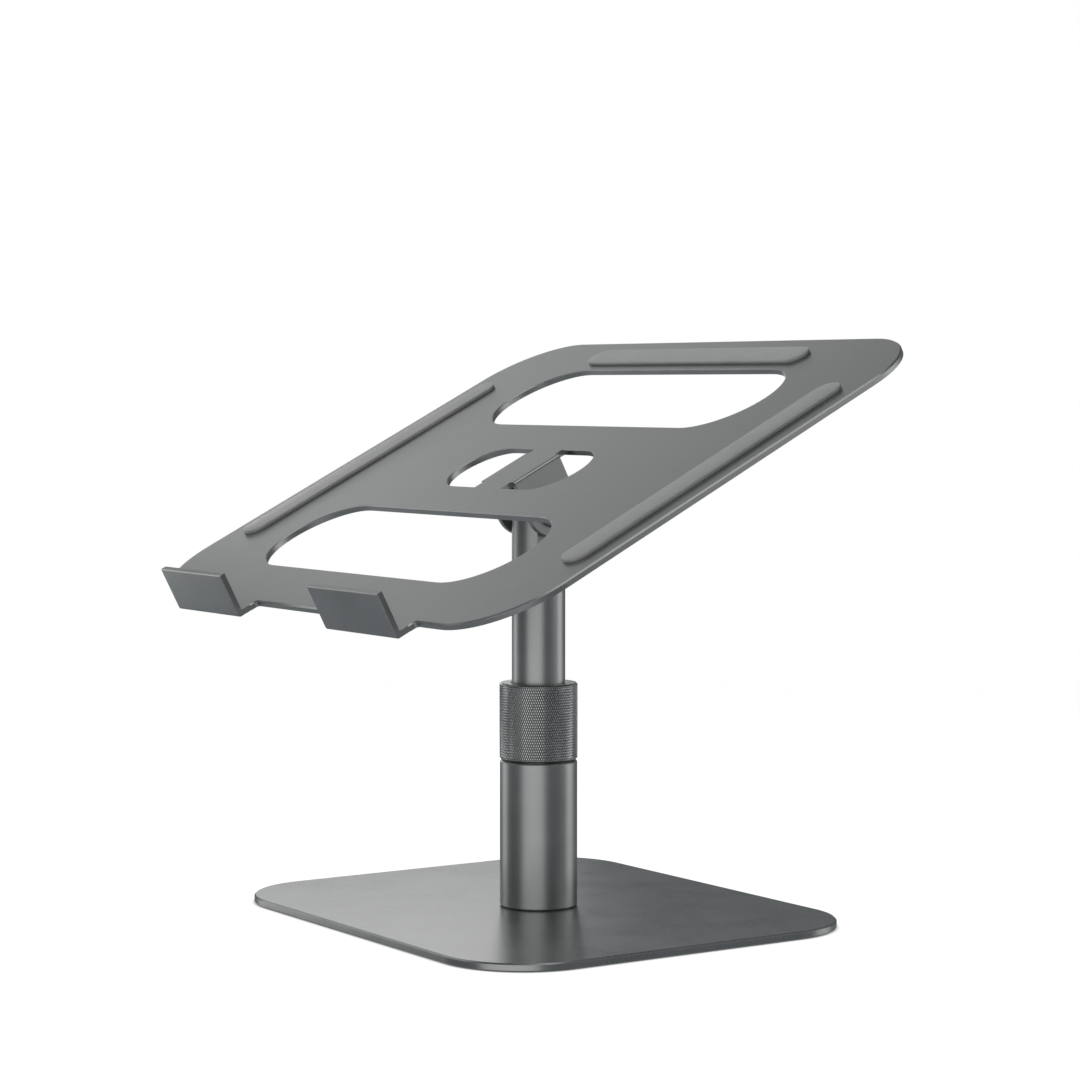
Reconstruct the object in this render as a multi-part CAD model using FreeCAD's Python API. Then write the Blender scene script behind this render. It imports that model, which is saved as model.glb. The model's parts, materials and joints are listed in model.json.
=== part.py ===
import FreeCAD, Part
import math
import os

# Telescoping laptop stand: a flat base, a clamped two-piece post and a tilting sheet-metal tray.
# Row frame, in millimetres: origin on the floor under the middle of the base, on the post's axis.
# +Z is up, the hooks that stop the laptop face -Y, and the tilt hinge lies along X.

V = FreeCAD.Vector
X_AXIS = V(1, 0, 0)
Z_AXIS = V(0, 0, 1)
ORIGIN = V(0, 0, 0)

# ---------------------------------------------------------------- driving dimensions
# How far a cutting tool runs past the face that it cuts
OVERCUT = 1.0

# Base
BASE_WIDTH = 216.0
BASE_DEPTH = 181.0
BASE_THICKNESS = 2.8
BASE_CORNER = 36.0
BASE_CHAMFER = 0.6
BASE_PAD_THICKNESS = 0.6
BASE_PAD_INSET = 2.5

# Outer tube, with the threaded neck turned on its upper end
OUTER_RADIUS = 16.1
BORE_RADIUS = 12.6
NECK_RADIUS = 14.3
NECK_UNDERCUT = 0.5
NECK_UNDERCUT_LENGTH = 2.0
SHOULDER_HEIGHT = 64.4
NECK_TOP = 90.4
MOUTH_DEPTH = 1.5
MOUTH_WIDENING = 1.2
TUBE_EDGE = 0.7

# Twist-lock collar and what it squeezes
COLLAR_RADIUS = 16.25
COLLAR_BOTTOM = 64.8
COLLAR_TOP = 96.6
COLLAR_LIP = 3.0
COLLAR_EDGE = 0.4
COLLAR_LIP_CLEARANCE = 0.25
THREAD_CLEARANCE = 0.05
THRUST_RING_THICKNESS = 0.8
THRUST_RING_RADIUS = 13.8
COLLET_GAP = 0.35
COLLET_SLIT = 1.5
COLLET_SEAT_CLEARANCE = 0.15
GUIDE_BUSH_LENGTH = 8.0
GUIDE_BUSH_GAP = 0.4

# Sliding mast
MAST_RADIUS = 11.1
MAST_WALL = 1.6
MAST_BOTTOM = 63.0
MAST_TOP = 144.0
RUNNING_CLEARANCE = 0.06
SLIDE_RING_LENGTH = 8.0
SLIDE_RING_PLAY = 0.05
END_FLANGE_THICKNESS = 2.0
END_FLANGE_RADIUS = 12.2
CLIP_THICKNESS = 1.2
CLIP_GROOVE_DEPTH = 0.6
CLIP_OPENING = 4.0

# Hinge head and hinge bolt
HINGE_HEIGHT = 170.0
HEAD_FLAT = 9.05
FLAT_BOTTOM = 151.0
SPIGOT_LENGTH = 16.0
SET_SCREW_RADIUS = 2.0
SET_SCREW_HEIGHT = 136.0
SET_SCREW_SEAT = 3.0
SET_SCREW_RECESS = 0.3
SET_SCREW_SOCKET_FLATS = 2.0
SET_SCREW_SOCKET_DEPTH = 1.5
BOLT_RADIUS = 4.0
BOLT_CLEARANCE = 0.05
BOLT_SOCKET_FLATS = 5.0
BOLT_SOCKET_DEPTH = 1.4
BOLT_END_RECESS = 0.6
CAP_RADIUS = 8.75
CAP_THICKNESS = 2.2
CAP_EDGE = 0.6
NUT_THICKNESS = 3.0
NUT_HOLE_RADIUS = 0.9
NUT_HOLE_DEPTH = 1.5
NUT_HOLE_OFFSET = 6.2
SPRING_STACK = 1.5
SPRING_THICKNESS = 0.5
SPRING_RADIUS = 7.8
SPRING_CLEARANCE = 0.1
FRICTION_WASHER_RADIUS = 9.5
FRICTION_WASHER_PLAY = 0.05

# Tray sheet.  Its own frame: u across, v up the slope from front to back, w off the top face.
TILT = 27.0
SHEET = 2.5
TRAY_WIDTH = 280.0
TRAY_FRONT = -127.0
TRAY_BACK = 106.0
TRAY_FRONT_CORNER = 35.5
TRAY_BACK_CORNER = 36.0
TRAY_CHAMFER = 0.6
CUTOUT_CHAMFER = 0.35
HINGE_V = -9.3
HINGE_DROP = 18.4
CUTOUT_WIDTH = 181.6
CUTOUT_LENGTH = 52.0
FRONT_CUTOUT_V = -74.0
BACK_CUTOUT_V = 53.1

# Ears bent down from the windows beside the centre strip
WINDOW_INNER = 9.7
WINDOW_CENTRE_U = 26.4
WINDOW_CENTRE_V = -10.95
WINDOW_RADIUS = 16.95
EAR_OUTER = 12.7
EAR_CENTRE_V = -10.3
EAR_CENTRE_W = -18.2
EAR_RADIUS = 12.3
EAR_BEND = 1.3
EAR_EDGE = 0.3
EAR_ROOT_OVERLAP = 0.5

# Front hooks
HOOK_INNER_U = 35.6
HOOK_OUTER_U = 88.4
HOOK_FACE_V = -136.9
HOOK_TOP = 16.8
HOOK_BEND_OUTER = 1.4
HOOK_BEND_INNER = 0.5
HOOK_EDGE = 0.35
TONGUE_FILLET = 1.5
TONGUE_OVERLAP = 4.0

# Silicone pads
PAD_THICKNESS = 1.6
PAD_EDGE = 0.25
SIDE_PAD_WIDTH = 13.0
SIDE_PAD_U = 124.5
SIDE_PAD_FRONT = -79.0
SIDE_PAD_BACK = 64.0
BACK_PAD_WIDTH = 12.6
BACK_PAD_LENGTH = 151.0
BACK_PAD_V = 90.0
HOOK_PAD_THICKNESS = 1.2
HOOK_PAD_INSET = 4.0
HOOK_PAD_LOW = 2.5
HOOK_PAD_HIGH = 14.4
HOOK_PAD_CORNER = 2.0

# Fasteners under the base
FOOT_PLUG_HEIGHT = 8.0
FOOT_PLUG_BORE = 2.5
SCREW_RADIUS = 2.5
SCREW_HEAD_RADIUS = 4.6
SCREW_CIRCLE = 7.5
SCREW_COUNT = 3
SCREW_LENGTH = 10.0
SOCKET_DEPTH = 1.4
SOCKET_FLATS = 3.0

# ---------------------------------------------------------------- worked-out dimensions
BASE_UNDERSIDE = BASE_PAD_THICKNESS
BASE_TOP = BASE_UNDERSIDE + BASE_THICKNESS
LIP_UNDERSIDE = COLLAR_TOP - COLLAR_LIP
LIP_BORE_RADIUS = MAST_RADIUS + COLLAR_LIP_CLEARANCE
THRUST_RING_TOP = LIP_UNDERSIDE - THREAD_CLEARANCE
THRUST_RING_BOTTOM = THRUST_RING_TOP - THRUST_RING_THICKNESS
COLLET_TOP = THRUST_RING_BOTTOM - COLLET_GAP
COLLET_BOTTOM = NECK_TOP - MOUTH_DEPTH
BUSH_TOP = COLLET_BOTTOM - GUIDE_BUSH_GAP
MAST_BORE = MAST_RADIUS - MAST_WALL
GUIDE_RADIUS = MAST_RADIUS + RUNNING_CLEARANCE
CLIP_BOTTOM = MAST_BOTTOM + SLIDE_RING_LENGTH
EAR_INNER = EAR_OUTER - SHEET
HOOK_INNER_V = HOOK_FACE_V + SHEET


# ---------------------------------------------------------------- helpers
def cylinder(radius, bottom, top):
    return Part.makeCylinder(radius, top - bottom, V(0, 0, bottom), Z_AXIS)


def ring(outer, inner, bottom, top):
    return cylinder(outer, bottom, top).cut(cylinder(inner, bottom - OVERCUT, top + OVERCUT))


def cross_cylinder(radius, x_from, x_to):
    """A cylinder along the hinge axis."""
    return Part.makeCylinder(radius, x_to - x_from, V(x_from, 0, HINGE_HEIGHT), X_AXIS)


def cross_ring(outer, inner, x_from, x_to):
    return cross_cylinder(outer, x_from, x_to).cut(cross_cylinder(inner, x_from - OVERCUT, x_to + OVERCUT))


def box(low, high):
    return Part.makeBox(high[0] - low[0], high[1] - low[1], high[2] - low[2], V(*low))


def rounded_outline(corners, place=lambda a, b: V(a, b, 0)):
    """A closed wire through (a, b, radius) corners, each rounded by an arc of its radius."""
    joints = []
    count = len(corners)
    for i, (a, b, radius) in enumerate(corners):
        corner = V(a, b, 0)
        before = V(*corners[i - 1][:2], 0) - corner
        after = V(*corners[(i + 1) % count][:2], 0) - corner
        before.normalize()
        after.normalize()
        half = before.getAngle(after) / 2
        middle = before + after
        middle.normalize()
        centre = corner + middle * (radius / math.sin(half))
        reach = radius / math.tan(half)
        joints.append((corner + before * reach, centre - middle * radius, corner + after * reach))
    edges = []
    for i, (start, middle, end) in enumerate(joints):
        previous = joints[i - 1][2]
        if previous.distanceToPoint(start) > 1e-6:
            edges.append(Part.makeLine(place(previous.x, previous.y), place(start.x, start.y)))
        if start.distanceToPoint(end) > 1e-6:
            points = [place(p.x, p.y) for p in (start, middle, end)]
            edges.append(Part.Arc(*points).toShape())
    return Part.Wire(edges)


def rectangle(a_low, a_high, b_low, b_high, radius):
    """The four corners of a rectangle, each rounded by the same radius."""
    corners = ((a_low, b_low), (a_high, b_low), (a_high, b_high), (a_low, b_high))
    return [(a, b, radius) for a, b in corners]


def slab(corners, bottom, top):
    """A flat plate with a rounded outline, between two heights."""
    face = Part.Face(rounded_outline(corners, lambda a, b: V(a, b, bottom)))
    return face.extrude(V(0, 0, top - bottom))


def edges_at_height(shape, height):
    tolerance = 1e-4
    return [e for e in shape.Edges
            if abs(e.BoundBox.ZMin - height) < tolerance and abs(e.BoundBox.ZMax - height) < tolerance]


def hexagon_prism(flats, bottom, top, centre=(0, 0)):
    radius = flats / math.sqrt(3)
    points = []
    for i in range(7):
        angle = math.radians(60 * i)
        points.append(V(centre[0] + radius * math.cos(angle), centre[1] + radius * math.sin(angle), bottom))
    return Part.Face(Part.makePolygon(points)).extrude(V(0, 0, top - bottom))


def mirrored(shape):
    return shape.mirror(ORIGIN, X_AXIS)


def tray_to_row(shape):
    """Moves a shape from the tray's own frame, hung on the hinge axis, into the row frame at rest."""
    placed = shape.copy()
    placed.translate(V(0, -HINGE_V, HINGE_DROP))
    placed.rotate(ORIGIN, X_AXIS, TILT)
    placed.translate(V(0, 0, HINGE_HEIGHT))
    return placed


def save(name, shape):
    shape.exportStep("parts/%s.step" % name)


# ---------------------------------------------------------------- base
def screw_centres():
    for i in range(SCREW_COUNT):
        angle = math.radians(90 + 360 * i / SCREW_COUNT)
        yield SCREW_CIRCLE * math.cos(angle), SCREW_CIRCLE * math.sin(angle)


def screw_body(x, y):
    """One countersunk screw, head down, without its socket."""
    head_height = SCREW_HEAD_RADIUS - SCREW_RADIUS
    head = Part.makeCone(SCREW_HEAD_RADIUS, SCREW_RADIUS, head_height, V(x, y, BASE_UNDERSIDE), Z_AXIS)
    shank = Part.makeCylinder(SCREW_RADIUS, SCREW_LENGTH, V(x, y, BASE_UNDERSIDE), Z_AXIS)
    return head.fuse(shank).removeSplitter()


def make_base_plate():
    half_x = BASE_WIDTH / 2
    half_y = BASE_DEPTH / 2
    plate = slab(rectangle(-half_x, half_x, -half_y, half_y, BASE_CORNER), BASE_UNDERSIDE, BASE_TOP)
    plate = plate.makeChamfer(BASE_CHAMFER, edges_at_height(plate, BASE_TOP))
    for x, y in screw_centres():
        plate = plate.cut(screw_body(x, y))
    return plate


def make_base_pad():
    half_x = BASE_WIDTH / 2 - BASE_PAD_INSET
    half_y = BASE_DEPTH / 2 - BASE_PAD_INSET
    return slab(rectangle(-half_x, half_x, -half_y, half_y, BASE_CORNER - BASE_PAD_INSET), 0, BASE_UNDERSIDE)


def make_base_screws():
    screws = []
    for x, y in screw_centres():
        socket = hexagon_prism(SOCKET_FLATS, BASE_UNDERSIDE - OVERCUT, BASE_UNDERSIDE + SOCKET_DEPTH, (x, y))
        screws.append(screw_body(x, y).cut(socket))
    return Part.makeCompound(screws)


def make_foot_plug():
    plug = ring(BORE_RADIUS, FOOT_PLUG_BORE, BASE_TOP, BASE_TOP + FOOT_PLUG_HEIGHT)
    for x, y in screw_centres():
        plug = plug.cut(screw_body(x, y))
    return plug


# ---------------------------------------------------------------- outer tube and its lock
def make_outer_tube():
    body = cylinder(OUTER_RADIUS, BASE_TOP, SHOULDER_HEIGHT)
    ends = edges_at_height(body, SHOULDER_HEIGHT) + edges_at_height(body, BASE_TOP)
    body = body.makeChamfer(TUBE_EDGE, ends)
    undercut_top = SHOULDER_HEIGHT + NECK_UNDERCUT_LENGTH
    undercut = cylinder(NECK_RADIUS - NECK_UNDERCUT, SHOULDER_HEIGHT - OVERCUT, undercut_top)
    tube = body.fuse([undercut, cylinder(NECK_RADIUS, undercut_top, NECK_TOP)]).removeSplitter()
    tube = tube.cut(cylinder(BORE_RADIUS, BASE_TOP - OVERCUT, NECK_TOP + OVERCUT))
    mouth_radius = BORE_RADIUS + MOUTH_WIDENING
    return tube.cut(Part.makeCone(BORE_RADIUS, mouth_radius, MOUTH_DEPTH, V(0, 0, COLLET_BOTTOM), Z_AXIS))


def make_guide_bush():
    return ring(BORE_RADIUS, GUIDE_RADIUS, BUSH_TOP - GUIDE_BUSH_LENGTH, BUSH_TOP)


def make_collet():
    low = BORE_RADIUS - COLLET_SEAT_CLEARANCE
    high = BORE_RADIUS + MOUTH_WIDENING - COLLET_SEAT_CLEARANCE
    bottom = COLLET_BOTTOM - OVERCUT
    top = COLLET_TOP + OVERCUT
    cone = Part.makeCone(low, high, MOUTH_DEPTH, V(0, 0, COLLET_BOTTOM), Z_AXIS)
    collet = cone.fuse(cylinder(high, NECK_TOP, COLLET_TOP)).removeSplitter()
    collet = collet.cut(cylinder(GUIDE_RADIUS, bottom, top))
    slit = box((-COLLET_SLIT / 2, 0, bottom), (COLLET_SLIT / 2, OUTER_RADIUS, top))
    return collet.cut(slit)


def make_thrust_ring():
    return ring(THRUST_RING_RADIUS, LIP_BORE_RADIUS, THRUST_RING_BOTTOM, THRUST_RING_TOP)


def make_lock_collar():
    collar = cylinder(COLLAR_RADIUS, COLLAR_BOTTOM, COLLAR_TOP)
    ends = edges_at_height(collar, COLLAR_BOTTOM) + edges_at_height(collar, COLLAR_TOP)
    collar = collar.makeChamfer(COLLAR_EDGE, ends)
    collar = collar.cut(cylinder(NECK_RADIUS + THREAD_CLEARANCE, COLLAR_BOTTOM - OVERCUT, LIP_UNDERSIDE))
    return collar.cut(cylinder(LIP_BORE_RADIUS, LIP_UNDERSIDE - OVERCUT, COLLAR_TOP + OVERCUT))


# ---------------------------------------------------------------- sliding mast
def set_screw_hole(y_from, y_to):
    return Part.makeCylinder(SET_SCREW_RADIUS, y_to - y_from, V(0, y_from, SET_SCREW_HEIGHT), V(0, 1, 0))


def make_inner_tube():
    tube = ring(MAST_RADIUS, MAST_BORE, MAST_BOTTOM, MAST_TOP)
    groove_radius = MAST_RADIUS - CLIP_GROOVE_DEPTH
    groove = ring(MAST_RADIUS + OVERCUT, groove_radius, CLIP_BOTTOM, CLIP_BOTTOM + CLIP_THICKNESS)
    return tube.cut(groove).cut(set_screw_hole(0, MAST_RADIUS + OVERCUT))


def make_slide_ring():
    outer = BORE_RADIUS - RUNNING_CLEARANCE
    return ring(outer, GUIDE_RADIUS, MAST_BOTTOM + SLIDE_RING_PLAY, CLIP_BOTTOM - SLIDE_RING_PLAY)


def make_retaining_clip():
    clip = ring(END_FLANGE_RADIUS, MAST_RADIUS - CLIP_GROOVE_DEPTH, CLIP_BOTTOM, CLIP_BOTTOM + CLIP_THICKNESS)
    opening = box((-CLIP_OPENING / 2, 0, CLIP_BOTTOM - OVERCUT),
                  (CLIP_OPENING / 2, OUTER_RADIUS, CLIP_BOTTOM + CLIP_THICKNESS + OVERCUT))
    return clip.cut(opening)


def make_mast_end_plug():
    flange = cylinder(END_FLANGE_RADIUS, MAST_BOTTOM - END_FLANGE_THICKNESS, MAST_BOTTOM)
    return flange.fuse(cylinder(MAST_BORE, MAST_BOTTOM, MAST_BOTTOM + SLIDE_RING_LENGTH)).removeSplitter()


def make_hinge_head():
    """A solid head as thick as the mast, flat on both sides and rounded over the hinge axis."""
    post = cylinder(MAST_RADIUS, MAST_TOP, HINGE_HEIGHT + MAST_RADIUS)
    below = box((-MAST_RADIUS, -MAST_RADIUS, MAST_TOP), (MAST_RADIUS, MAST_RADIUS, HINGE_HEIGHT))
    head = post.common(below.fuse(cross_cylinder(MAST_RADIUS, -MAST_RADIUS, MAST_RADIUS)))
    for side in (-1, 1):
        x_low, x_high = sorted((side * HEAD_FLAT, side * OUTER_RADIUS))
        beside = box((x_low, -OUTER_RADIUS, FLAT_BOTTOM), (x_high, OUTER_RADIUS, HINGE_HEIGHT + OUTER_RADIUS))
        head = head.cut(beside)
    head = head.fuse(cylinder(MAST_BORE, MAST_TOP - SPIGOT_LENGTH, MAST_TOP)).removeSplitter()
    head = head.cut(cross_cylinder(BOLT_RADIUS + BOLT_CLEARANCE, -OUTER_RADIUS, OUTER_RADIUS))
    return head.cut(set_screw_hole(MAST_BORE - SET_SCREW_SEAT, MAST_BORE + OVERCUT))


def make_head_set_screw():
    screw = set_screw_hole(MAST_BORE - SET_SCREW_SEAT, MAST_RADIUS - SET_SCREW_RECESS)
    socket = hexagon_prism(SET_SCREW_SOCKET_FLATS, 0, SET_SCREW_SOCKET_DEPTH + OVERCUT)
    socket.rotate(ORIGIN, X_AXIS, -90)
    socket.translate(V(0, MAST_RADIUS - SET_SCREW_RECESS - SET_SCREW_SOCKET_DEPTH, SET_SCREW_HEIGHT))
    return screw.cut(socket)


# ---------------------------------------------------------------- hinge
def make_hinge_bolt():
    head = cross_cylinder(CAP_RADIUS, EAR_OUTER, EAR_OUTER + CAP_THICKNESS)
    rim = [e for e in head.Edges if e.BoundBox.XMin > EAR_OUTER + CAP_THICKNESS - 1e-4]
    head = head.makeFillet(CAP_EDGE, rim)
    end = -(EAR_OUTER + SPRING_STACK + NUT_THICKNESS - BOLT_END_RECESS)
    bolt = head.fuse(cross_cylinder(BOLT_RADIUS, end, EAR_OUTER)).removeSplitter()
    socket = hexagon_prism(BOLT_SOCKET_FLATS, 0, BOLT_SOCKET_DEPTH + OVERCUT)
    socket.rotate(ORIGIN, V(0, 1, 0), 90)
    socket.translate(V(EAR_OUTER + CAP_THICKNESS - BOLT_SOCKET_DEPTH, 0, HINGE_HEIGHT))
    return bolt.cut(socket)


def make_hinge_nut():
    face = -(EAR_OUTER + SPRING_STACK)
    nut = cross_ring(CAP_RADIUS, BOLT_RADIUS, face - NUT_THICKNESS, face)
    rim = [e for e in nut.Edges
           if e.BoundBox.XMax < face - NUT_THICKNESS + 1e-4 and e.BoundBox.ZLength > CAP_RADIUS]
    nut = nut.makeFillet(CAP_EDGE, rim)
    for side in (-1, 1):
        mouth = V(face - NUT_THICKNESS, side * NUT_HOLE_OFFSET, HINGE_HEIGHT)
        hole = Part.makeCylinder(NUT_HOLE_RADIUS, NUT_HOLE_DEPTH, mouth, X_AXIS)
        nut = nut.cut(hole)
    return nut


def make_disc_springs():
    """Two conical spring washers, rim to rim, between the left ear and the nut."""
    middle = -(EAR_OUTER + SPRING_STACK / 2)
    dish = SPRING_STACK / 2 - SPRING_THICKNESS
    bore = BOLT_RADIUS + SPRING_CLEARANCE
    springs = []
    for side in (-1, 1):
        profile = [(0, SPRING_RADIUS), (SPRING_THICKNESS, SPRING_RADIUS),
                   (dish + SPRING_THICKNESS, bore), (dish, bore), (0, SPRING_RADIUS)]
        points = [V(middle + side * along, 0, HINGE_HEIGHT + radius) for along, radius in profile]
        face = Part.Face(Part.makePolygon(points))
        springs.append(face.revolve(V(0, 0, HINGE_HEIGHT), X_AXIS, 360))
    return Part.makeCompound(springs)


def make_friction_washer(side):
    washer = cross_ring(FRICTION_WASHER_RADIUS, BOLT_RADIUS + BOLT_CLEARANCE,
                        HEAD_FLAT, EAR_INNER - FRICTION_WASHER_PLAY)
    return washer if side > 0 else mirrored(washer)


# ---------------------------------------------------------------- tray
def stadium(centre_v):
    half_u = CUTOUT_WIDTH / 2
    half_v = CUTOUT_LENGTH / 2
    return rectangle(-half_u, half_u, centre_v - half_v, centre_v + half_v, half_v)


def tray_outline():
    half = TRAY_WIDTH / 2
    tongue_end = HOOK_INNER_V + TONGUE_OVERLAP
    corners = [(-half, TRAY_BACK, TRAY_BACK_CORNER), (-half, TRAY_FRONT, TRAY_FRONT_CORNER)]
    for u_from, u_to in ((-HOOK_OUTER_U, -HOOK_INNER_U), (HOOK_INNER_U, HOOK_OUTER_U)):
        corners += [(u_from, TRAY_FRONT, TONGUE_FILLET), (u_from, tongue_end, 0),
                    (u_to, tongue_end, 0), (u_to, TRAY_FRONT, TONGUE_FILLET)]
    return corners + [(half, TRAY_FRONT, TRAY_FRONT_CORNER), (half, TRAY_BACK, TRAY_BACK_CORNER)]


def make_window():
    """The D-shaped hole that the right ear is bent out of."""
    v_low = WINDOW_CENTRE_V - WINDOW_RADIUS
    v_high = WINDOW_CENTRE_V + WINDOW_RADIUS
    straight = box((WINDOW_INNER, v_low, -SHEET - OVERCUT), (WINDOW_CENTRE_U, v_high, OVERCUT))
    centre = V(WINDOW_CENTRE_U, WINDOW_CENTRE_V, -SHEET - OVERCUT)
    bow = Part.makeCylinder(WINDOW_RADIUS, SHEET + 2 * OVERCUT, centre, Z_AXIS)
    return straight.fuse(bow).removeSplitter()


def make_ear():
    """The right ear, bent down square to the tray, with its bend at the top."""
    v_front = EAR_CENTRE_V - EAR_RADIUS
    v_back = EAR_CENTRE_V + EAR_RADIUS
    corners = [V(EAR_INNER, v_front, 0), V(EAR_INNER, v_front, EAR_CENTRE_W),
               V(EAR_INNER, EAR_CENTRE_V, EAR_CENTRE_W - EAR_RADIUS),
               V(EAR_INNER, v_back, EAR_CENTRE_W), V(EAR_INNER, v_back, 0)]
    outline = Part.Wire([Part.makeLine(corners[0], corners[1]),
                         Part.Arc(corners[1], corners[2], corners[3]).toShape(),
                         Part.makeLine(corners[3], corners[4]), Part.makeLine(corners[4], corners[0])])
    ear = Part.Face(outline).extrude(V(SHEET, 0, 0))
    rim = [e for e in ear.Edges if e.BoundBox.XMin > EAR_OUTER - 1e-4 and e.BoundBox.ZMin < -1e-4]
    ear = ear.makeChamfer(EAR_EDGE, rim)
    bend = [e for e in ear.Edges if e.BoundBox.XMin > EAR_OUTER - 1e-4 and e.BoundBox.ZMin > -1e-4]
    ear = ear.makeFillet(EAR_BEND, bend)
    root = box((WINDOW_INNER - EAR_ROOT_OVERLAP, v_front, -SHEET), (EAR_INNER + EAR_ROOT_OVERLAP, v_back, 0))
    axle = V(EAR_INNER - OVERCUT, HINGE_V, -HINGE_DROP)
    bore = Part.makeCylinder(BOLT_RADIUS, SHEET + 2 * OVERCUT, axle, X_AXIS)
    return ear.fuse(root).removeSplitter().cut(bore)


def make_hook():
    """The right hook, bent up square to the tray, with the part of its tongue that the bend starts from."""
    start = HOOK_INNER_V + TONGUE_OVERLAP
    outer = HOOK_BEND_OUTER
    inner = HOOK_BEND_INNER
    corners = [(start, -SHEET, 0), (HOOK_FACE_V, -SHEET, outer), (HOOK_FACE_V, HOOK_TOP, 0),
               (HOOK_INNER_V, HOOK_TOP, 0), (HOOK_INNER_V, 0, inner), (start, 0, 0)]
    profile = Part.Face(rounded_outline(corners, lambda v, w: V(HOOK_INNER_U, v, w)))
    hook = profile.extrude(V(HOOK_OUTER_U - HOOK_INNER_U, 0, 0))
    on_outer_face = [e for e in hook.Edges if e.BoundBox.YMax < HOOK_FACE_V + 1e-4]
    outside = [e for e in on_outer_face if e.BoundBox.ZMax > HOOK_TOP - 1e-4]
    return hook.makeChamfer(HOOK_EDGE, outside)


def make_tray():
    plate = slab(tray_outline(), -SHEET, 0)
    tongue_end = HOOK_INNER_V + TONGUE_OVERLAP
    rim = [e for e in edges_at_height(plate, 0) if e.BoundBox.YMax > tongue_end + 1e-4]
    plate = plate.makeChamfer(TRAY_CHAMFER, rim)
    holes = [slab(stadium(v), -SHEET - OVERCUT, OVERCUT) for v in (FRONT_CUTOUT_V, BACK_CUTOUT_V)]
    window = make_window()
    holes += [window, mirrored(window)]
    for hole in holes:
        before = edges_at_height(plate, 0)
        plate = plate.cut(hole)
        known = [e.CenterOfMass for e in before]
        new = [e for e in edges_at_height(plate, 0)
               if all(e.CenterOfMass.distanceToPoint(c) > 1e-3 for c in known)]
        new = [e for e in new if abs(abs(e.CenterOfMass.x) - WINDOW_INNER) > 1e-3]
        plate = plate.makeChamfer(CUTOUT_CHAMFER, new)
    ear = make_ear()
    hook = make_hook()
    return plate.fuse([ear, mirrored(ear), hook, mirrored(hook)]).removeSplitter()


def make_side_pad(side):
    half = SIDE_PAD_WIDTH / 2
    centre = side * SIDE_PAD_U
    corners = rectangle(centre - half, centre + half, SIDE_PAD_FRONT, SIDE_PAD_BACK, half)
    pad = slab(corners, 0, PAD_THICKNESS)
    return pad.makeFillet(PAD_EDGE, edges_at_height(pad, PAD_THICKNESS))


def make_back_pad():
    half_u = BACK_PAD_LENGTH / 2
    half_v = BACK_PAD_WIDTH / 2
    pad = slab(rectangle(-half_u, half_u, BACK_PAD_V - half_v, BACK_PAD_V + half_v, half_v), 0, PAD_THICKNESS)
    return pad.makeFillet(PAD_EDGE, edges_at_height(pad, PAD_THICKNESS))


def make_hook_pad(side):
    u_from = HOOK_INNER_U + HOOK_PAD_INSET
    u_to = HOOK_OUTER_U - HOOK_PAD_INSET
    corners = rectangle(u_from, u_to, HOOK_PAD_LOW, HOOK_PAD_HIGH, HOOK_PAD_CORNER)
    face = Part.Face(rounded_outline(corners, lambda u, w: V(u, HOOK_INNER_V, w)))
    pad = face.extrude(V(0, HOOK_PAD_THICKNESS, 0))
    return pad if side > 0 else mirrored(pad)


# ---------------------------------------------------------------- files
save("base_plate", make_base_plate())
save("base_pad", make_base_pad())
save("base_screws", make_base_screws())
save("foot_plug", make_foot_plug())
save("outer_tube", make_outer_tube())
save("guide_bush", make_guide_bush())
save("collet", make_collet())
save("thrust_ring", make_thrust_ring())
save("lock_collar", make_lock_collar())
save("slide_ring", make_slide_ring())
save("inner_tube", make_inner_tube())
save("retaining_clip", make_retaining_clip())
save("mast_end_plug", make_mast_end_plug())
save("hinge_head", make_hinge_head())
save("head_set_screw", make_head_set_screw())
save("friction_washer_left", make_friction_washer(-1))
save("friction_washer_right", make_friction_washer(1))
save("hinge_bolt", make_hinge_bolt())
save("hinge_nut", make_hinge_nut())
save("disc_springs", make_disc_springs())
save("tray", tray_to_row(make_tray()))
save("tray_pad_left", tray_to_row(make_side_pad(-1)))
save("tray_pad_right", tray_to_row(make_side_pad(1)))
save("tray_pad_back", tray_to_row(make_back_pad()))
save("hook_pad_left", tray_to_row(make_hook_pad(-1)))
save("hook_pad_right", tray_to_row(make_hook_pad(1)))
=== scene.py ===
import json
import math
import bmesh
import bpy
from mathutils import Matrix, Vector


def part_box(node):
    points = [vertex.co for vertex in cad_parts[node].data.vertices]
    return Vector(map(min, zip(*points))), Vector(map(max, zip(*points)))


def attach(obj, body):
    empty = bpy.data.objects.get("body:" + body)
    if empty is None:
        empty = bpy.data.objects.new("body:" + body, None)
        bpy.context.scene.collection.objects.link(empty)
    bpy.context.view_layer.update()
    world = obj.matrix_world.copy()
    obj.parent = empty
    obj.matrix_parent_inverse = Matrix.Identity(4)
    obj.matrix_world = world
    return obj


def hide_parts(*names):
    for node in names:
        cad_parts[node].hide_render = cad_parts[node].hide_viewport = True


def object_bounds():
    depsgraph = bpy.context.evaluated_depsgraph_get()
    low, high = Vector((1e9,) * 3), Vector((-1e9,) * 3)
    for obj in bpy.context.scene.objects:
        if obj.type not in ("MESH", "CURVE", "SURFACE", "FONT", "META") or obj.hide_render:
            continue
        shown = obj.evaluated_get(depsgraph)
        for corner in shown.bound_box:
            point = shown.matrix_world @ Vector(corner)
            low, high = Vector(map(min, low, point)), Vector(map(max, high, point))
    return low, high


# Laptop stand: looks, lights and camera around the fixed CAD frame.  Metres, +Z up.

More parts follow.
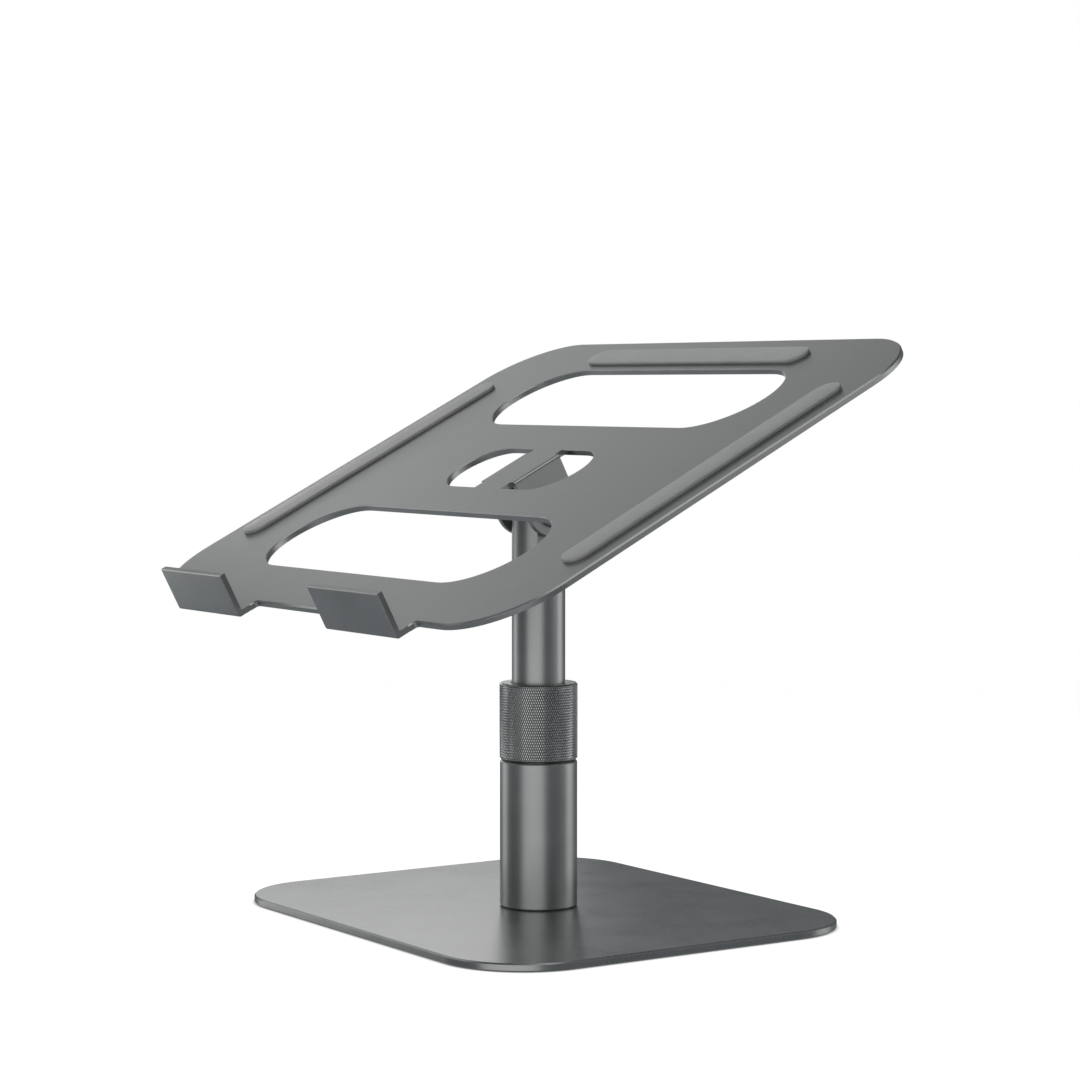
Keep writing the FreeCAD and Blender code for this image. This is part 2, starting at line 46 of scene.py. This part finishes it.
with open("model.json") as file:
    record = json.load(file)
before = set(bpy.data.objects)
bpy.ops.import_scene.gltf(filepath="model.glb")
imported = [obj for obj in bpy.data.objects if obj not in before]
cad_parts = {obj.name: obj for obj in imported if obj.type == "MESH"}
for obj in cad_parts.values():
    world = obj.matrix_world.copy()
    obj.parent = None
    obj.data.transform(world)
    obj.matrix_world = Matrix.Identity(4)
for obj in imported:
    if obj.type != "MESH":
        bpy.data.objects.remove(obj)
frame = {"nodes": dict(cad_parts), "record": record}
cad_low, cad_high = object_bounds()
record = frame["record"]
scene = bpy.context.scene
MM = 0.001

# ---------------------------------------------------------------- camera and studio
CAMERA_PLACE = (1.01829, -0.67506, 0.21955)
CAMERA_AZIMUTH = 56.43
CAMERA_PITCH = 2.99
CAMERA_LENS = 98.4
SENSOR = 36.0
LIGHT_COLOUR = (1.0, 0.99, 0.975)
ROOM_COLOUR = (0.93, 1.0, 1.05)
BACKDROP_WHITE = 1.0
AMBIENT_ABOVE = 0.16
AMBIENT_BELOW = 0.3
ROOM_BLEND_LOW = -0.55
ROOM_BLEND_HIGH = 0.05
FLOOR_SIZE = 6.0
FLOOR_ALBEDO = 0.62
FLOOR_GLOW = 0.84
FLOOR_SHADE_REACH = 0.002
FLOOR_FADE_FROM = 0.45
FLOOR_FADE_TO = 1.1

# Light levels: a broad key, strips that rim the post, and a weaker fill.
KEY = 1.0
RIM = 1.2
FILL = 0.5

# Softboxes: name, azimuth from the camera (left is negative), elevation, distance, width, height, brightness
SOFTBOXES = (
    ("key_front", -15.0, 5.0, 0.9, 1.2, 0.9, KEY),
    ("left_rim", -120.0, 0.0, 0.8, 0.35, 0.5, RIM),
    ("right_rim", 105.0, 0.0, 0.8, 0.4, 0.5, RIM),
    ("left_high", -110.0, 35.0, 0.8, 0.8, 0.5, FILL),
    ("back_low", -165.0, 10.0, 0.65, 0.4, 0.25, KEY),
    ("back_high", 180.0, 30.0, 0.8, 0.7, 0.35, FILL),
    ("right_fill", 75.0, 15.0, 0.8, 0.5, 0.5, FILL),
    ("overhead", 30.0, 75.0, 0.8, 0.6, 0.6, KEY),
)


# ---------------------------------------------------------------- node helpers
class Shader:
    """A material's node tree, with short calls for the nodes that the finishes share."""

    def __init__(self, name):
        self.material = bpy.data.materials.new(name)
        self.material.use_nodes = True
        self.nodes = self.material.node_tree.nodes
        self.links = self.material.node_tree.links
        self.nodes.clear()
        self.output = self.add("OutputMaterial")
        self.surface = self.add("BsdfPrincipled")
        self.link(self.surface.outputs["BSDF"], self.output.inputs["Surface"])
        self.place = self.add("TexCoord").outputs["Object"]

    def add(self, kind):
        return self.nodes.new("ShaderNode" + kind)

    def link(self, source, target):
        self.links.new(source, target)

    def from_axis(self):
        """Distance from the post's axis."""
        split = self.add("SeparateXYZ")
        flat = self.add("CombineXYZ")
        length = self.add("VectorMath")
        length.operation = "LENGTH"
        self.link(self.place, split.inputs[0])
        self.link(split.outputs["X"], flat.inputs["X"])
        self.link(split.outputs["Y"], flat.inputs["Y"])
        self.link(flat.outputs[0], length.inputs[0])
        return length.outputs["Value"]

    def noise(self, feature, detail=2.0, rough=0.5, vector=None):
        """Noise whose features are about this many metres across."""
        node = self.add("TexNoise")
        node.inputs["Scale"].default_value = 1.0 / feature
        node.inputs["Detail"].default_value = detail
        node.inputs["Roughness"].default_value = rough
        self.link(vector or self.place, node.inputs["Vector"])
        return node.outputs["Fac"]

    def spread(self, value, low, high, from_low=0.3, from_high=0.7):
        node = self.add("MapRange")
        numbers = {"From Min": from_low, "From Max": from_high, "To Min": low, "To Max": high}
        for socket, number in numbers.items():
            node.inputs[socket].default_value = number
        self.link(value, node.inputs["Value"])
        return node.outputs["Result"]

    def math(self, operation, a, b):
        node = self.add("Math")
        node.operation = operation
        for socket, value in zip(node.inputs, (a, b)):
            if isinstance(value, (int, float)):
                socket.default_value = value
            else:
                self.link(value, socket)
        return node.outputs["Value"]

    def blend(self, factor, colour_a, colour_b, mode="MIX"):
        node = self.add("Mix")
        node.data_type = "RGBA"
        node.blend_type = mode
        self.link(factor, node.inputs["Factor"])
        a_socket = [s for s in node.inputs if s.name == "A" and s.type == "RGBA"][0]
        b_socket = [s for s in node.inputs if s.name == "B" and s.type == "RGBA"][0]
        for socket, colour in ((a_socket, colour_a), (b_socket, colour_b)):
            if isinstance(colour, tuple):
                socket.default_value = (*colour, 1.0)
            else:
                self.link(colour, socket)
        return [s for s in node.outputs if s.type == "RGBA"][0]

    def edges(self, radius):
        """Gives 1 near edges and 0 on flat ground, and the normal that a bevel of this radius would have."""
        bevel = self.add("Bevel")
        bevel.samples = 6
        bevel.inputs["Radius"].default_value = radius
        flat = self.add("NewGeometry").outputs["Normal"]
        dot = self.add("VectorMath")
        dot.operation = "DOT_PRODUCT"
        self.link(bevel.outputs["Normal"], dot.inputs[0])
        self.link(flat, dot.inputs[1])
        return self.spread(dot.outputs["Value"], 1.0, 0.0, 0.9, 0.995), bevel.outputs["Normal"]

    def bump(self, height, distance, strength, normal=None):
        node = self.add("Bump")
        node.inputs["Strength"].default_value = strength
        node.inputs["Distance"].default_value = distance
        self.link(height, node.inputs["Height"])
        if normal:
            self.link(normal, node.inputs["Normal"])
        return node.outputs["Normal"]

    def set(self, **numbers):
        for name, value in numbers.items():
            self.surface.inputs[name.replace("_", " ")].default_value = value


def finish_metal(name, colour, roughness, grain, grain_depth, mottle=1.0, edge_lift=1.6,
                 edge_radius=0.2 * MM, groove=None):
    """Bead-blasted or turned metal: fine grain, a slight cloudiness, and lighter edges that are partly wear
    and partly a painted highlight.

    mottle scales how uneven the grain is.  groove is a pair of distances from the post's axis: the colour is
    painted dark at the first, as painted shade in the knurl's grooves, and left plain from the second
    outward.
    """
    s = Shader(name)
    s.set(Metallic=1.0, IOR=1.5)
    edge_mask, rounded = s.edges(edge_radius)
    fine = s.noise(grain, 3.0, 0.6)
    cloud = s.noise(0.03, 3.0, 0.55)
    rub = s.noise(0.004, 4.0, 0.7)
    darker = tuple(0.9 * c for c in colour)
    lighter = tuple(1.08 * c for c in colour)
    base = s.blend(s.spread(cloud, 0.0, 1.0), darker, lighter)
    speck = s.spread(fine, 0.0, 1.0, 0.35, 0.65)
    base = s.blend(s.math("MULTIPLY", speck, 0.35 * mottle), base, tuple(1.35 * c for c in colour))
    # lighter edges: partly rubbed wear, partly a painted highlight standing in for the bright chamfer lines
    wear_and_highlight = s.math("MULTIPLY", edge_mask, s.spread(rub, 0.35, 1.0, 0.35, 0.6))
    base = s.blend(wear_and_highlight, base, tuple(min(1.0, edge_lift * c) for c in colour))
    if groove:
        # painted shade: the colour darkens towards the knurl's groove roots, where shade falls
        groove_shade = s.spread(s.from_axis(), 1.0, 0.0, *groove)
        base = s.blend(s.math("MULTIPLY", groove_shade, 0.85), base, tuple(0.25 * c for c in colour))
    s.link(base, s.surface.inputs["Base Color"])
    uneven = 0.05 * mottle
    grained = s.spread(fine, roughness - uneven, roughness + uneven)
    rough = s.math("ADD", grained, s.spread(cloud, -0.02, 0.02))
    s.link(s.math("SUBTRACT", rough, s.math("MULTIPLY", wear_and_highlight, 0.06)), s.surface.inputs["Roughness"])
    s.link(s.bump(fine, grain_depth, 0.5, rounded), s.surface.inputs["Normal"])
    return s.material


def finish_silicone(name, colour, roughness, grain=0.35 * MM, grain_depth=0.02 * MM):
    """Moulded rubber: fine grain, faintly mottled, and slightly lighter along the edges."""
    s = Shader(name)
    s.set(Metallic=0.0, IOR=1.5)
    edge_mask, rounded = s.edges(0.15 * MM)
    fine = s.noise(grain, 3.0, 0.6)
    cloud = s.noise(0.015, 3.0, 0.6)
    darker = tuple(0.93 * c for c in colour)
    lighter = tuple(1.05 * c for c in colour)
    base = s.blend(s.spread(cloud, 0.0, 1.0), darker, lighter)
    base = s.blend(s.math("MULTIPLY", edge_mask, 0.4), base, tuple(1.2 * c for c in colour))
    s.link(base, s.surface.inputs["Base Color"])
    s.link(s.spread(fine, roughness - 0.06, roughness + 0.06), s.surface.inputs["Roughness"])
    s.link(s.bump(fine, grain_depth, 0.5, rounded), s.surface.inputs["Normal"])
    return s.material


def finish_plastic(name, colour, roughness):
    """Moulded plastic: fine grain, faintly mottled, and slightly lighter along the edges."""
    s = Shader(name)
    s.set(Metallic=0.0, IOR=1.48)
    edge_mask, rounded = s.edges(0.3 * MM)
    fine = s.noise(0.2 * MM, 2.0, 0.5)
    cloud = s.noise(0.008, 3.0, 0.6)
    darker = tuple(0.92 * c for c in colour)
    lighter = tuple(min(1, 1.06 * c) for c in colour)
    base = s.blend(s.spread(cloud, 0.0, 1.0), darker, lighter)
    base = s.blend(s.math("MULTIPLY", edge_mask, 0.3), base, tuple(min(1, 1.25 * c) for c in colour))
    s.link(base, s.surface.inputs["Base Color"])
    s.link(s.spread(fine, roughness - 0.06, roughness + 0.06), s.surface.inputs["Roughness"])
    s.link(s.bump(fine, 0.01 * MM, 0.4, rounded), s.surface.inputs["Normal"])
    return s.material


# ---------------------------------------------------------------- materials
GREY = (0.34, 0.345, 0.345)
KNURL_COLUMNS = 112
KNURL_ROWS = 28
KNURL_DEPTH = 0.35 * MM
KNURL_FLAT = 0.40
KNURL_TOP_STEP = 0.01 * MM
HALF_CELL_MIDDLE = 0.35
anodised = finish_metal("anodised_grey", GREY, 0.33, 0.45 * MM, 0.02 * MM, edge_radius=0.12 * MM)
turned = finish_metal("anodised_tube", GREY, 0.36, 0.3 * MM, 0.002 * MM, mottle=0.3)
coated = finish_metal("coated_base", GREY, 0.29, 0.35 * MM, 0.006 * MM, mottle=0.5, edge_radius=0.15 * MM)
collar_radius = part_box("lock_collar")[1].x
# the knurl's colour is raised 1.5 times as a painted highlight on its crowns, and its grooves get painted
# shade
knurled = finish_metal("knurled_grey", tuple(1.5 * c for c in GREY), 0.20, 0.3 * MM, 0.002 * MM,
                       mottle=0.5, edge_lift=1.3, edge_radius=0.08 * MM,
                       groove=(collar_radius - KNURL_DEPTH, collar_radius - 0.3 * KNURL_DEPTH))
silicone = finish_silicone("silicone_grey", (0.37, 0.37, 0.37), 0.22)
foam = finish_silicone("foot_black", (0.04, 0.04, 0.04), 0.7, 1.2 * MM, 0.3 * MM)
white_acetal = finish_plastic("acetal_white", (0.80, 0.80, 0.77), 0.4)
black_acetal = finish_plastic("acetal_black", (0.035, 0.035, 0.035), 0.4)
plain_steel = finish_metal("steel_plain", (0.55, 0.55, 0.56), 0.28, 0.2 * MM, 0.01 * MM)
dark_steel = finish_metal("steel_dark", (0.12, 0.12, 0.125), 0.35, 0.2 * MM, 0.01 * MM)

SLOT_MATERIAL = {
    "anodised_grey": anodised, "powder_grey": coated, "knurled_grey": knurled, "silicone_grey": silicone,
    "foot_black": foam, "acetal_white": white_acetal, "acetal_black": black_acetal,
    "steel_plain": plain_steel, "steel_dark": dark_steel,
}
TURNED_NODES = ("outer_tube", "inner_tube", "hinge_head", "hinge_bolt", "hinge_nut")


def dress_nodes():
    for part in record["subparts"]:
        node = frame["nodes"][part["node"]]
        node.data.materials.clear()
        finish = turned if part["node"] in TURNED_NODES else SLOT_MATERIAL[part["material_slot"]]
        node.data.materials.append(finish)


# ---------------------------------------------------------------- knurled collar
COLLAR_EDGE = 0.4 * MM
BORE_EDGE = 0.3 * MM
PLAIN_DEPTH = 1.0 * MM


def ring_of(bm, radius, z, count, turn=0.0):
    step = 2 * math.pi / count
    return [bm.verts.new((radius * math.cos((i + turn) * step), radius * math.sin((i + turn) * step), z))
            for i in range(count)]


def bridge(bm, ring_a, ring_b):
    count = len(ring_a)
    for i in range(count):
        j = (i + 1) % count
        bm.faces.new((ring_a[i], ring_a[j], ring_b[j], ring_b[i]))


def make_collar():
    """The lock collar with a cut diamond knurl: a flat-topped pyramid in each cell of the crossed grooves."""
    low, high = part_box("lock_collar")
    outer = high.x
    bottom, top = low.z, high.z
    node = frame["nodes"]["lock_collar"].data
    radii = sorted({round(math.hypot(v.co.x, v.co.y), 5) for v in node.vertices})
    lip_bore = radii[0]
    thread_bore = next(r for r in radii if r > lip_bore + 1 * MM)
    lip_z = max(v.co.z for v in node.vertices if abs(math.hypot(v.co.x, v.co.y) - thread_bore) < 0.05 * MM)
    band_low, band_high = bottom + COLLAR_EDGE, top - COLLAR_EDGE
    root = outer - KNURL_DEPTH
    bm = bmesh.new()
    half = 2 * KNURL_COLUMNS
    angle = 2 * math.pi / half
    rise = (band_high - band_low) / KNURL_ROWS
    # groove crossings, one ring a row, on every second column and shifted by one column each row
    crossings = []
    for row in range(KNURL_ROWS + 1):
        z = band_low + row * rise
        ring = {}
        for column in range(row % 2, half, 2):
            a = column * angle
            ring[column] = bm.verts.new((root * math.cos(a), root * math.sin(a), z))
        crossings.append(ring)
    edge_columns = {}
    for row in (0, KNURL_ROWS):
        z = band_low + row * rise
        ring = {}
        for column in range(half):
            if column in crossings[row]:
                ring[column] = crossings[row][column]
            else:
                a = column * angle
                ring[column] = bm.verts.new((root * math.cos(a), root * math.sin(a), z))
        edge_columns[row] = ring

    def crown(column, row_middle, corners):
        """Raises a flat-topped cell over its corner points."""
        a = column * angle
        z = band_low + row_middle * rise
        centre = Vector((outer * math.cos(a), outer * math.sin(a), z))
        tops = []
        for corner in corners:
            p = corner.co.lerp(centre, 1.0 - KNURL_FLAT)
            radius = math.hypot(p.x, p.y)
            p.x *= (outer - KNURL_TOP_STEP) / radius
            p.y *= (outer - KNURL_TOP_STEP) / radius
            tops.append(bm.verts.new(p))
        count = len(corners)
        for i in range(count):
            j = (i + 1) % count
            bm.faces.new((corners[i], corners[j], tops[j], tops[i]))
        bm.faces.new(tops)

    for row in range(1, KNURL_ROWS):
        for column in range((row + 1) % 2, half, 2):
            left, right = (column - 1) % half, (column + 1) % half
            below, above = crossings[row - 1][column], crossings[row + 1][column]
            crown(column, row, (crossings[row][left], below, crossings[row][right], above))
    for row, step in ((0, 1), (KNURL_ROWS, -1)):
        ring = edge_columns[row]
        for column in range((row + 1) % 2, half, 2):
            left, right = ring[(column - 1) % half], ring[(column + 1) % half]
            middle, far = ring[column], crossings[row + step][column]
            corners = (left, middle, right, far) if step > 0 else (left, far, right, middle)
            crown(column, row + HALF_CELL_MIDDLE * step, corners)
    # plain bands at both ends, and the inside
    first = [edge_columns[0][c] for c in range(half)]
    last = [edge_columns[KNURL_ROWS][c] for c in range(half)]
    low_edge = ring_of(bm, outer - COLLAR_EDGE - KNURL_DEPTH * 0.5, bottom, half)
    high_edge = ring_of(bm, outer - COLLAR_EDGE - KNURL_DEPTH * 0.5, top, half)
    high_lip = ring_of(bm, lip_bore + BORE_EDGE, top, half)
    high_bore = ring_of(bm, lip_bore, top - BORE_EDGE, half)
    lip_low = ring_of(bm, lip_bore, lip_z, half)
    lip_out = ring_of(bm, thread_bore, lip_z, half)
    skirt = ring_of(bm, thread_bore, bottom + BORE_EDGE, half)
    skirt_edge = ring_of(bm, thread_bore + BORE_EDGE, bottom, half)
    loops = (last, high_edge, high_lip, high_bore, lip_low, lip_out, skirt, skirt_edge, low_edge, first)
    for ring_a, ring_b in zip(loops, loops[1:]):
        bridge(bm, ring_a, ring_b)
    bmesh.ops.recalc_face_normals(bm, faces=bm.faces)
    mesh = bpy.data.meshes.new("knurled_collar")
    bm.to_mesh(mesh)
    bm.free()
    collar = bpy.data.objects.new("knurled_collar", mesh)
    scene.collection.objects.link(collar)
    mesh.materials.append(knurled)
    mesh.materials.append(turned)
    for face in mesh.polygons:
        inside = math.hypot(face.center.x, face.center.y) < outer - PLAIN_DEPTH
        face.material_index = 1 if inside or abs(face.normal.z) > 0.9 else 0
    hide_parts("lock_collar")
    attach(collar, "collar")


# ---------------------------------------------------------------- silicone pads
PAD_ARC_STEPS = 20
PAD_EDGE_STEPS = 5
PAD_EDGE_ROUND = 0.2 * MM
PAD_CROWN = 0.1 * MM
PAD_DOME_STEPS = 6
PAD_DOME_REACH = 0.98
FULL_ROUND = 1.0
HOOK_PAD_CORNER = 2.0 * MM


def mount(name):
    return next(m for m in record["mounts"] if m["name"] == name)


ACROSS = Vector((1, 0, 0))
TRAY_NORMAL = Vector(mount("laptop_rest")["axis"]).normalized()
UPSLOPE = TRAY_NORMAL.cross(ACROSS)


def extents(node, axes):
    """Lowest and highest coordinate of a CAD node along each of three axes."""
    points = [v.co for v in frame["nodes"][node].data.vertices]
    return [(min(p.dot(axis) for p in points), max(p.dot(axis) for p in points)) for axis in axes]


def rounded_ring(half_a, half_b, corner, inset):
    """Points of a rounded rectangle drawn in by inset, the same number for every inset."""
    radius = max(corner - inset, 0.0)
    reach_a = half_a - inset - radius
    reach_b = half_b - inset - radius
    points = []
    for quarter, (side_a, side_b) in enumerate(((1, 1), (-1, 1), (-1, -1), (1, -1))):
        for i in range(PAD_ARC_STEPS + 1):
            turn = math.pi / 2 * (quarter + i / PAD_ARC_STEPS)
            a = side_a * reach_a + radius * math.cos(turn)
            b = side_b * reach_b + radius * math.sin(turn)
            points.append((a, b))
    return points


def make_pad(node, axes, corner):
    """A moulded strip: upright sides, a small rounded edge and a top that is crowned very slightly.

    corner is the radius seen from above, cut down to half the strip's width.
    """
    (a_low, a_high), (b_low, b_high), (c_low, c_high) = extents(node, axes)
    half_a, half_b = (a_high - a_low) / 2, (b_high - b_low) / 2
    corner = min(corner, half_a, half_b)
    centre = axes[0] * (a_low + half_a) + axes[1] * (b_low + half_b) + axes[2] * c_low
    height = c_high - c_low
    rim = height - PAD_CROWN
    rings = [(0.0, 0.0), (0.0, rim - PAD_EDGE_ROUND)]
    for i in range(1, PAD_EDGE_STEPS + 1):
        turn = math.pi / 2 * i / PAD_EDGE_STEPS
        rings.append((PAD_EDGE_ROUND * (1 - math.cos(turn)), rim - PAD_EDGE_ROUND * (1 - math.sin(turn))))
    reach = min(half_a, half_b) * PAD_DOME_REACH
    for i in range(1, PAD_DOME_STEPS + 1):
        part = i / PAD_DOME_STEPS
        inset = PAD_EDGE_ROUND + (reach - PAD_EDGE_ROUND) * part
        rings.append((inset, rim + PAD_CROWN * math.sin(math.pi / 2 * part)))
    bm = bmesh.new()
    loops = []
    for inset, lift in rings:
        loops.append([bm.verts.new(centre + axes[0] * a + axes[1] * b + axes[2] * lift)
                      for a, b in rounded_ring(half_a, half_b, corner, inset)])
    for ring_a, ring_b in zip(loops, loops[1:]):
        bridge(bm, ring_a, ring_b)
    bm.faces.new(loops[-1])
    bm.faces.new(loops[0][::-1])
    bmesh.ops.remove_doubles(bm, verts=bm.verts, dist=1e-7)
    bmesh.ops.recalc_face_normals(bm, faces=bm.faces)
    for face in bm.faces:
        face.smooth = len(face.verts) == 4
    mesh = bpy.data.meshes.new("moulded_" + node)
    bm.to_mesh(mesh)
    bm.free()
    pad = bpy.data.objects.new("moulded_" + node, mesh)
    scene.collection.objects.link(pad)
    mesh.materials.append(silicone)
    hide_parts(node)
    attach(pad, "tray")


def make_pads():
    for node in ("tray_pad_left", "tray_pad_right"):
        make_pad(node, (UPSLOPE, -ACROSS, TRAY_NORMAL), FULL_ROUND)
    make_pad("tray_pad_back", (ACROSS, UPSLOPE, TRAY_NORMAL), FULL_ROUND)
    for node in ("hook_pad_left", "hook_pad_right"):
        make_pad(node, (ACROSS, -TRAY_NORMAL, UPSLOPE), HOOK_PAD_CORNER)


# ---------------------------------------------------------------- stage
def make_camera():
    data = bpy.data.cameras.new("camera")
    data.lens = CAMERA_LENS
    data.sensor_width = SENSOR
    camera = bpy.data.objects.new("camera", data)
    camera.location = CAMERA_PLACE
    camera.rotation_euler = (math.radians(90 - CAMERA_PITCH), 0, math.radians(CAMERA_AZIMUTH))
    scene.collection.objects.link(camera)
    scene.camera = camera


def make_floor():
    """A pale floor that fades into the white backdrop and is clear from below, its glow dimmed by ambient
    occlusion next to the stand as a painted contact shadow.
    """
    mesh = bpy.data.meshes.new("floor")
    half = FLOOR_SIZE / 2
    corners = [(-half, -half, 0), (half, -half, 0), (half, half, 0), (-half, half, 0)]
    mesh.from_pydata(corners, [], [(0, 1, 2, 3)])
    floor = bpy.data.objects.new("floor", mesh)
    scene.collection.objects.link(floor)
    material = bpy.data.materials.new("floor_white")
    material.use_nodes = True
    nodes, links = material.node_tree.nodes, material.node_tree.links
    nodes.clear()
    output = nodes.new("ShaderNodeOutputMaterial")
    diffuse = nodes.new("ShaderNodeBsdfDiffuse")
    diffuse.inputs["Color"].default_value = (FLOOR_ALBEDO,) * 3 + (1.0,)
    glow = nodes.new("ShaderNodeEmission")
    # painted contact shadow: the floor's glow is cut by ambient occlusion under and beside the stand
    corner = nodes.new("ShaderNodeAmbientOcclusion")
    corner.inputs["Distance"].default_value = FLOOR_SHADE_REACH
    strength = nodes.new("ShaderNodeMath")
    strength.operation = "MULTIPLY"
    strength.inputs[1].default_value = FLOOR_GLOW
    links.new(corner.outputs["AO"], strength.inputs[0])
    links.new(strength.outputs[0], glow.inputs["Strength"])
    both = nodes.new("ShaderNodeAddShader")
    links.new(diffuse.outputs[0], both.inputs[0])
    links.new(glow.outputs[0], both.inputs[1])
    clear = nodes.new("ShaderNodeBsdfTransparent")
    place = nodes.new("ShaderNodeNewGeometry")
    length = nodes.new("ShaderNodeVectorMath")
    length.operation = "LENGTH"
    links.new(place.outputs["Position"], length.inputs[0])
    fade = nodes.new("ShaderNodeMapRange")
    fade.interpolation_type = "SMOOTHSTEP"
    fade.inputs["From Min"].default_value = FLOOR_FADE_FROM
    fade.inputs["From Max"].default_value = FLOOR_FADE_TO
    links.new(length.outputs["Value"], fade.inputs["Value"])
    hidden = nodes.new("ShaderNodeMath")
    hidden.operation = "MAXIMUM"
    links.new(fade.outputs["Result"], hidden.inputs[0])
    links.new(place.outputs["Backfacing"], hidden.inputs[1])
    mix = nodes.new("ShaderNodeMixShader")
    links.new(hidden.outputs[0], mix.inputs["Fac"])
    links.new(both.outputs[0], mix.inputs[1])
    links.new(clear.outputs[0], mix.inputs[2])
    links.new(mix.outputs[0], output.inputs["Surface"])
    mesh.materials.append(material)
    floor.visible_glossy = False


def make_world():
    """White to the camera, and a dim even room to everything else."""
    world = bpy.data.worlds.new("studio")
    scene.world = world
    world.use_nodes = True
    nodes, links = world.node_tree.nodes, world.node_tree.links
    nodes.clear()
    output = nodes.new("ShaderNodeOutputWorld")
    seen = nodes.new("ShaderNodeBackground")
    seen.inputs["Strength"].default_value = BACKDROP_WHITE
    room = nodes.new("ShaderNodeBackground")
    direction = nodes.new("ShaderNodeTexCoord")
    split = nodes.new("ShaderNodeSeparateXYZ")
    links.new(direction.outputs["Generated"], split.inputs[0])
    height = nodes.new("ShaderNodeMapRange")
    height.interpolation_type = "SMOOTHSTEP"
    ramp = (("From Min", ROOM_BLEND_LOW), ("From Max", ROOM_BLEND_HIGH), ("To Min", AMBIENT_BELOW),
            ("To Max", AMBIENT_ABOVE))
    for socket, number in ramp:
        height.inputs[socket].default_value = number
    links.new(split.outputs["Z"], height.inputs["Value"])
    links.new(height.outputs["Result"], room.inputs["Strength"])
    seen.inputs["Color"].default_value = (1, 1, 1, 1)
    room.inputs["Color"].default_value = (*ROOM_COLOUR, 1)
    path = nodes.new("ShaderNodeLightPath")
    mix = nodes.new("ShaderNodeMixShader")
    links.new(path.outputs["Is Camera Ray"], mix.inputs["Fac"])
    links.new(room.outputs[0], mix.inputs[1])
    links.new(seen.outputs[0], mix.inputs[2])
    links.new(mix.outputs[0], output.inputs["Surface"])


def make_softbox(name, azimuth, elevation, distance, width, height, brightness):
    data = bpy.data.lights.new(name, "AREA")
    data.shape = "RECTANGLE"
    data.size = width
    data.size_y = height
    data.energy = brightness * math.pi * width * height
    data.color = LIGHT_COLOUR
    light = bpy.data.objects.new(name, data)
    around = math.radians(CAMERA_AZIMUTH + azimuth)
    up = math.radians(elevation)
    centre = (cad_low + cad_high) / 2
    toward = Vector((math.sin(around) * math.cos(up), -math.cos(around) * math.cos(up), math.sin(up)))
    light.location = centre + toward * distance
    light.rotation_mode = "QUATERNION"
    light.rotation_quaternion = toward.to_track_quat("Z", "Y")
    light.visible_camera = False
    scene.collection.objects.link(light)


dress_nodes()
make_collar()
make_pads()
make_camera()
make_floor()
make_world()
for softbox in SOFTBOXES:
    make_softbox(*softbox)
scene.view_settings.view_transform = "Standard"
